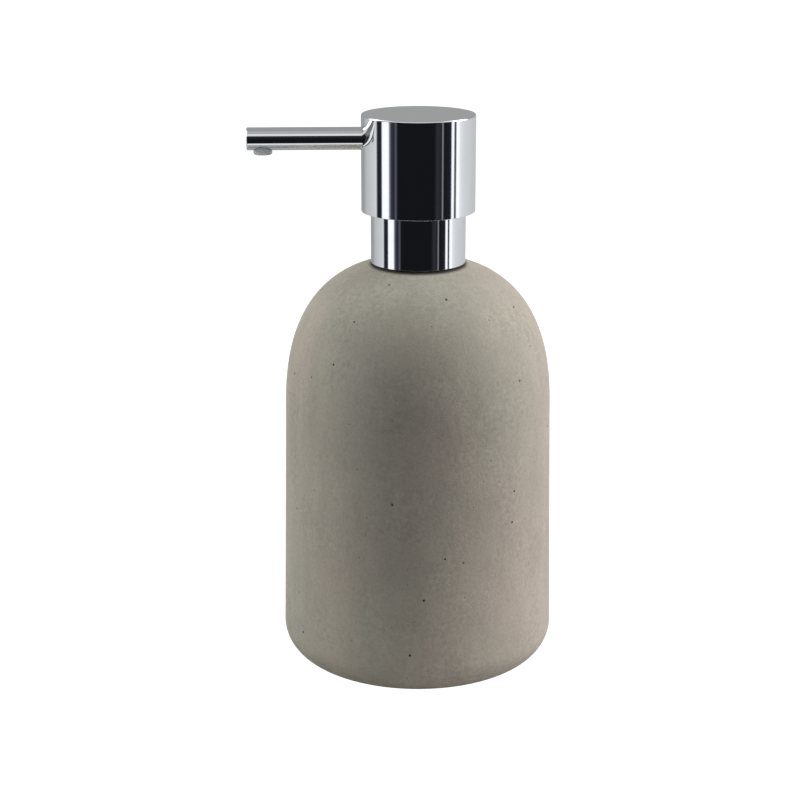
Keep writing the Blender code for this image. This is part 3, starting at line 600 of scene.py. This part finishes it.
neck_low, neck_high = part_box("neck_insert")
collar_low, collar_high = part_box("collar_shell")
flange_low = mouth_z + GAP
flange_top = flange_low + FLANGE_HEIGHT
plug = MOUTH_RADIUS - GAP
groove = plug - GROOVE_DEPTH
profile = [(NECK_BORE, neck_high.z, SMALL), (NECK_ROOT, neck_high.z, NECK_ROUND)]
profile += [(NECK_ROOT, flange_top, SMALL), (neck_high.x, flange_top, FLANGE_ROUND)]
profile += [(neck_high.x, flange_low, FINE), (plug, flange_low, FINE)]
for drop in GROOVE_DROPS:
    top = collar_low.z - drop
    low = top - GROOVE_HEIGHT
    for radius, height in ((plug, top), (groove, top), (groove, low), (plug, low)):
        profile.append((radius, height, GROOVE_ROUND))
profile += [(plug, neck_low.z, SOFT), (NECK_BORE, neck_low.z, SMALL)]
neck = turned("neck", eased(profile, 3), 128, ring=True)
finish_piece(neck, "bottle", "white_plastic", ["neck_insert"])
thread_z = collar_low.z + THREAD_START
ridge = helix_ridge("neck_thread", NECK_ROOT, THREAD_DEPTH, thread_z, THREAD_TURNS)
finish_piece(ridge, "bottle", "white_plastic")

# Closure: its thread runs half a pitch above the neck's.

cap_low, cap_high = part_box("closure_cap")
web = cap_high.z - CLOSURE_WEB
profile = [(CLOSURE_HOLE, cap_high.z, SMALL), (cap_high.x, cap_high.z, SOFT), (cap_high.x, cap_low.z, SMALL)]
profile += [(CLOSURE_BORE, cap_low.z, SOFT), (CLOSURE_BORE, web, SMALL), (CLOSURE_HOLE, web, SMALL)]
cap = turned("closure_ring", eased(profile, 3), 128, ring=True)
finish_piece(cap, "closure", "white_plastic", ["closure_cap"])
thread_z += THREAD_PITCH / 2
ridge = helix_ridge("closure_thread", CLOSURE_BORE, -THREAD_DEPTH, thread_z, THREAD_TURNS)
finish_piece(ridge, "closure", "white_plastic")

# Collar

size = collar_high.x
inside = size - COLLAR_WALL
lip = collar_high.z - COLLAR_WALL
profile = [(COLLAR_LIP_BORE, collar_high.z, SMALL), (size, collar_high.z, EDGE), (size, collar_low.z, HEM)]
profile += [(inside, collar_low.z, HEM), (inside, lip, SMALL), (COLLAR_LIP_BORE, lip, SMALL)]
collar = turned("chrome_collar", eased(profile), 256, ring=True)
finish_piece(collar, "closure", "chrome", ["collar_shell"])

# Head: a cup with a bevelled top and a hole for the spout.

head_low, head_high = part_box("head_shell")
spout_low, spout_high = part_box("spout_tube")
spout_z = (spout_low.z + spout_high.z) / 2
spout_radius = (spout_high.z - spout_low.z) / 2
size = head_high.x
inside = size - HEAD_WALL
lid = head_high.z - HEAD_WALL
bevel_in, bevel_down = BEVEL
profile = [(0, head_high.z), (size - bevel_in, head_high.z, BEVEL_ROUNDS[0])]
profile += [(size, head_high.z - bevel_down, BEVEL_ROUNDS[1]), (size, head_low.z, HEM)]
profile += [(inside, head_low.z, HEM), (inside, lid, SOFT), (0, lid)]
head = turned("chrome_head", eased(profile), 256)
far, near = SPOUT_HOLE_ENDS
radius = spout_radius + SPOUT_HOLE_GAP
hole = turned("spout_hole", [(0, far), (radius, far), (radius, near), (0, near)], 96)
cut(head, place(hole, along_spout(spout_z)))
true_normals(head, size, "Z", 0.0)
finish_piece(head, "head", "chrome", ["head_shell"])

# Spout: a tube with a closed end and a hole below for the nozzle.

tip_low, tip_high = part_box("nozzle_tip")
length = -spout_low.x
inner_end = -spout_high.x
bore = spout_radius - SPOUT_WALL
profile = [(0, length), (spout_radius, length, EDGE), (spout_radius, inner_end), (bore, inner_end)]
profile += [(bore, length - SPOUT_END_WALL), (0, length - SPOUT_END_WALL)]
spout = place(turned("chrome_spout", eased(profile), 160), along_spout(spout_z))
tip_x = (tip_low.x + tip_high.x) / 2
tip_radius = (tip_high.x - tip_low.x) / 2
low, high = tip_low.z - TIP_HOLE_BELOW, spout_z - TIP_HOLE_TOP
radius = tip_radius + TIP_HOLE_GAP
hole = turned("tip_hole", [(0, high), (radius, high), (radius, low), (0, low)], 96)
cut(spout, place(hole, Matrix.Translation((tip_x, 0.0, 0.0))))
true_normals(spout, spout_radius, "X", spout_z)
finish_piece(spout, "head", "chrome", ["spout_tube"])

# Nozzle

step_z = spout_z - spout_radius + NOZZLE_STEP
top = spout_z + NOZZLE_BORE_TOP
profile = [(0, tip_high.z), (NOZZLE_NECK, tip_high.z, SOFT), (NOZZLE_NECK, step_z, FINE)]
profile += [(tip_radius, step_z, SMALL), (tip_radius, tip_low.z, NOZZLE_ROUND)]
profile += [(NOZZLE_BORE, tip_low.z, SOFT), (NOZZLE_BORE, top, SMALL), (0, top)]
tip = place(turned("nozzle", eased(profile), 96), Matrix.Translation((tip_x, 0.0, 0.0)))
finish_piece(tip, "head", "white_plastic", ["nozzle_tip"], nozzle_plastic)

# Return spring: it rides with the stem above it, and its coils close up towards that end.

spring_low, spring_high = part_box("return_spring")
per_turn, around = 40, 10
closed = 2 * WIRE_RADIUS + CLOSED_GAP
rise = (spring_high.z - spring_low.z - 2 * WIRE_RADIUS - 2 * closed) / FREE_TURNS
vertices, faces = [], []
count = (FREE_TURNS + 2) * per_turn
for step in range(count + 1):
    done = step / per_turn
    free = min(max(done - 1, 0), FREE_TURNS)
    angle = 2 * math.pi * done
    height = spring_low.z + WIRE_RADIUS + closed * (done - free) + rise * free
    for corner in range(around):
        turn = 2 * math.pi * corner / around
        radius = COIL_RADIUS + WIRE_RADIUS * math.cos(turn)
        up = WIRE_RADIUS * math.sin(turn)
        vertices.append((radius * math.cos(angle), radius * math.sin(angle), height + up))
for step in range(count):
    here, there = step * around, (step + 1) * around
    for corner in range(around):
        following = (corner + 1) % around
        faces.append((here + corner, here + following, there + following, there + corner))
faces += [tuple(range(around)), tuple(range(count * around, (count + 1) * around))]
mesh = bpy.data.meshes.new("spring_coil")
mesh.from_pydata(vertices, [], faces)
tidy(mesh, 50.0)
spring = finish_piece(add("spring_coil", mesh), "spring", "spring_steel", ["return_spring"])
height = spring_high.z - spring_low.z
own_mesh(spring)

# The other CAD nodes stay, with their real materials.

KEPT = {
    "neck_gasket": "seal_rubber",
    "pump_housing": "clear_plastic",
    "housing_cap": "white_plastic",
    "ball_retainer": "white_plastic",
    "inlet_ball": "steel_ball",
    "dip_tube": "clear_plastic",
    "stem": "white_plastic",
    "stem_plug": "white_plastic",
    "piston": "clear_plastic",
    "head_core": "white_plastic",
    "spout_liner": "clear_plastic",
}
for name, slot in KEPT.items():
    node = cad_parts[name]
    for material_slot in node.material_slots:
        material_slot.link = "OBJECT"
        material_slot.material = materials[slot]

# Studio: a white floor and a white backdrop that only the camera sees, and a grey table that only lights
# the pieces. Two cards that only the chrome shows draw the bright line round the head's top. The world's
# light is a tent with bright sides, a grey ceiling and a dark front, where the camera stands.


def emission_material(name, strength, grey_level=0.0):
    """A matt material that gives off white light."""
    material = bpy.data.materials.new(name)
    material.use_nodes = True
    shader = material.node_tree.nodes["Principled BSDF"]
    shader.inputs["Base Color"].default_value = (grey_level, grey_level, grey_level, 1.0)
    shader.inputs["Roughness"].default_value = 0.9
    shader.inputs["Emission Color"].default_value = (1.0, 1.0, 1.0, 1.0)
    shader.inputs["Emission Strength"].default_value = strength
    return material


def stage_disc(name, radius, height, material):
    mesh = bpy.data.meshes.new(name)
    shape = bmesh.new()
    middle = Matrix.Translation((0.0, 0.0, height))
    bmesh.ops.create_circle(shape, cap_ends=True, segments=128, radius=radius, matrix=middle)
    shape.to_mesh(mesh)
    shape.free()
    mesh.materials.append(material)
    obj = add(name, mesh)
    return obj


def seen_by(obj, camera, light):
    """Says whether the camera sees this stage object, and whether it lights and shows in the pieces."""
    obj.visible_camera = camera
    for kind in ("diffuse", "glossy", "transmission", "shadow"):
        setattr(obj, "visible_" + kind, light)


floor = stage_disc("floor", FLOOR_SIZE, FLOOR_TOP, emission_material("floor_white", WHITE))
seen_by(floor, True, False)
table_grey = emission_material("table_grey", TABLE_LIGHT, TABLE_GREY)
table = stage_disc("table", TABLE_SIZE, TABLE_TOP, table_grey)
seen_by(table, False, True)
for first, last in CARD_SPANS:
    edge = []
    for step in range(CARD_STEPS + 1):
        angle = math.radians(first + (last - first) * step / CARD_STEPS) - VIEW_TURN
        edge.append((CARD_RADIUS * math.sin(angle), -CARD_RADIUS * math.cos(angle)))
    mesh = bpy.data.meshes.new("card")
    points = [(*point, height) for height in CARD_HEIGHTS for point in edge]
    wide = len(edge)
    faces = [(step, step + 1, step + wide + 1, step + wide) for step in range(CARD_STEPS)]
    mesh.from_pydata(points, [], faces)
    mesh.materials.append(emission_material("card_white", CARD_LIGHT))
    card = add("card", mesh)
    seen_by(card, False, False)
    card.visible_glossy = True
mesh = bpy.data.meshes.new("backdrop")
shape = bmesh.new()
bmesh.ops.create_icosphere(shape, subdivisions=4, radius=BACKDROP_SIZE)
shape.to_mesh(mesh)
shape.free()
mesh.materials.append(emission_material("backdrop_white", WHITE))
backdrop = add("backdrop", mesh)
seen_by(backdrop, True, False)

world = bpy.data.worlds.new("studio")
bpy.context.scene.world = world
world.use_nodes = True
tree = world.node_tree
coordinates = tree.nodes.new("ShaderNodeTexCoord")
turn = tree.nodes.new("ShaderNodeVectorRotate")
turn.rotation_type = "Z_AXIS"
turn.inputs["Angle"].default_value = VIEW_TURN
tree.links.new(coordinates.outputs["Generated"], turn.inputs["Vector"])
axes = tree.nodes.new("ShaderNodeSeparateXYZ")
tree.links.new(turn.outputs["Vector"], axes.inputs["Vector"])


def maths(operation, first, second=None):
    node = tree.nodes.new("ShaderNodeMath")
    node.operation = operation
    for socket, value in zip(node.inputs, (first, second)):
        if isinstance(value, bpy.types.NodeSocket):
            tree.links.new(value, socket)
        elif value is not None:
            socket.default_value = value
    return node.outputs["Value"]


def by_angle(angle, full, stops):
    """A ramp over an angle in radians, with stops in degrees, from minus full to full degrees."""
    factor = maths("MULTIPLY_ADD", angle, 1 / math.radians(2 * full))
    factor.node.inputs[2].default_value = 0.5
    return ramp(tree, factor, [((place_at + full) / (2 * full), colour) for place_at, colour in stops])


away = maths("MULTIPLY", axes.outputs["Y"], -1.0)
azimuth = maths("ARCTAN2", axes.outputs["X"], away)
elevation = maths("ARCSINE", axes.outputs["Z"])


def grey(level, blue=1.03):
    return (level * 0.98, level, level * blue)


BLACK = (0.008, 0.009, 0.011)
NAVY = (0.018, 0.020, 0.032)
# Azimuth runs from the camera's direction, to the right as the camera sees it.
WALLS = [
    (-180, grey(0.37)),
    (-143, grey(0.38)),
    (-137, grey(0.49)),
    (-128, grey(0.59)),
    (-98, grey(0.76)),
    (-94.6, grey(0.84)),
    (-91, NAVY),
    (-79.5, NAVY),
    (-77.5, grey(1.25)),
    (-62.6, grey(1.25)),
    (-60.6, grey(0.30, 1.2)),
    (-57, grey(0.05, 1.4)),
    (-50, NAVY),
    (-46.5, grey(0.12, 1.3)),
    (-43, BLACK),
    (31, BLACK),
    (38, grey(0.035, 1.3)),
    (46, NAVY),
    (47.2, BLACK),
    (48.4, grey(0.36)),
    (49.6, grey(0.26)),
    (51, BLACK),
    (68, NAVY),
    (70, grey(1.25)),
    (74.6, grey(1.25)),
    (76.2, grey(0.05, 1.3)),
    (79.9, grey(0.05, 1.3)),
    (81.8, grey(1.28)),
    (88, grey(1.28)),
    (91, grey(0.96)),
    (104, grey(0.80)),
    (180, grey(0.52)),
]
# The light above: a soft box on each side.
UPPER = [
    (-180, grey(0.38, 1.0)),
    (-121, grey(0.38, 1.0)),
    (-116, grey(3.9, 1.0)),
    (-94, grey(3.9, 1.0)),
    (-89, grey(0.22, 1.0)),
    (-52, grey(0.30, 1.0)),
    (-44, grey(0.02, 1.0)),
    (40, grey(0.02, 1.0)),
    (48, grey(0.36, 1.0)),
    (75, grey(0.36, 1.0)),
    (80, grey(4.7, 1.0)),
    (112, grey(4.7, 1.0)),
    (117, grey(0.38, 1.0)),
    (180, grey(0.38, 1.0)),
]
walls = by_angle(azimuth, 180, WALLS)
upper = by_angle(azimuth, 180, UPPER)
rising = by_angle(elevation, 90, [(-90, 0.0), (1, 0.0), (5, 1.0), (90, 1.0)])
high = by_angle(elevation, 90, [(-90, 0.0), (54, 0.0), (60, 1.0), (90, 1.0)])
sides = mix(tree, "MIX", rising, walls, upper)
sides = mix(tree, "MIX", high, sides, grey(0.38))
COLUMN = [
    (-90, grey(0.42)),
    (-67, grey(0.42)),
    (-60, grey(0.60, 1.06)),
    (-54, grey(0.90, 1.06)),
    (-42, grey(1.00, 1.06)),
    (-39, BLACK),
    (5, BLACK),
    (31, grey(0.032, 1.0)),
    (34, grey(0.05, 1.0)),
    (36, grey(0.88)),
    (55, grey(0.86)),
    (60, grey(0.48)),
    (90, grey(0.52)),
]
front_column = by_angle(elevation, 90, COLUMN)
front = by_angle(azimuth, 180, [(-180, 0.0), (-42, 0.0), (-34, 1.0), (28, 1.0), (31, 0.0), (180, 0.0)])
light = mix(tree, "MIX", front, sides, front_column)
background = tree.nodes["Background"]
tree.links.new(light, background.inputs["Color"])
background.inputs["Strength"].default_value = 1.0

scene = bpy.context.scene
scene.view_settings.view_transform = "Standard"
scene.view_settings.look = "None"

# Camera

camera = bpy.data.cameras.new("camera")
camera.lens = LENS
camera.sensor_width = 36.0
camera.clip_start = 0.01
eye = bpy.data.objects.new("camera", camera)
scene.collection.objects.link(eye)
eye.location = (
    EYE_ASIDE * math.cos(VIEW_TURN) - EYE_AWAY * math.sin(VIEW_TURN),
    -EYE_ASIDE * math.sin(VIEW_TURN) - EYE_AWAY * math.cos(VIEW_TURN),
    EYE_HEIGHT,
)
eye.rotation_euler = (math.radians(90.0 - EYE_PITCH), 0.0, -VIEW_TURN)
scene.camera = eye
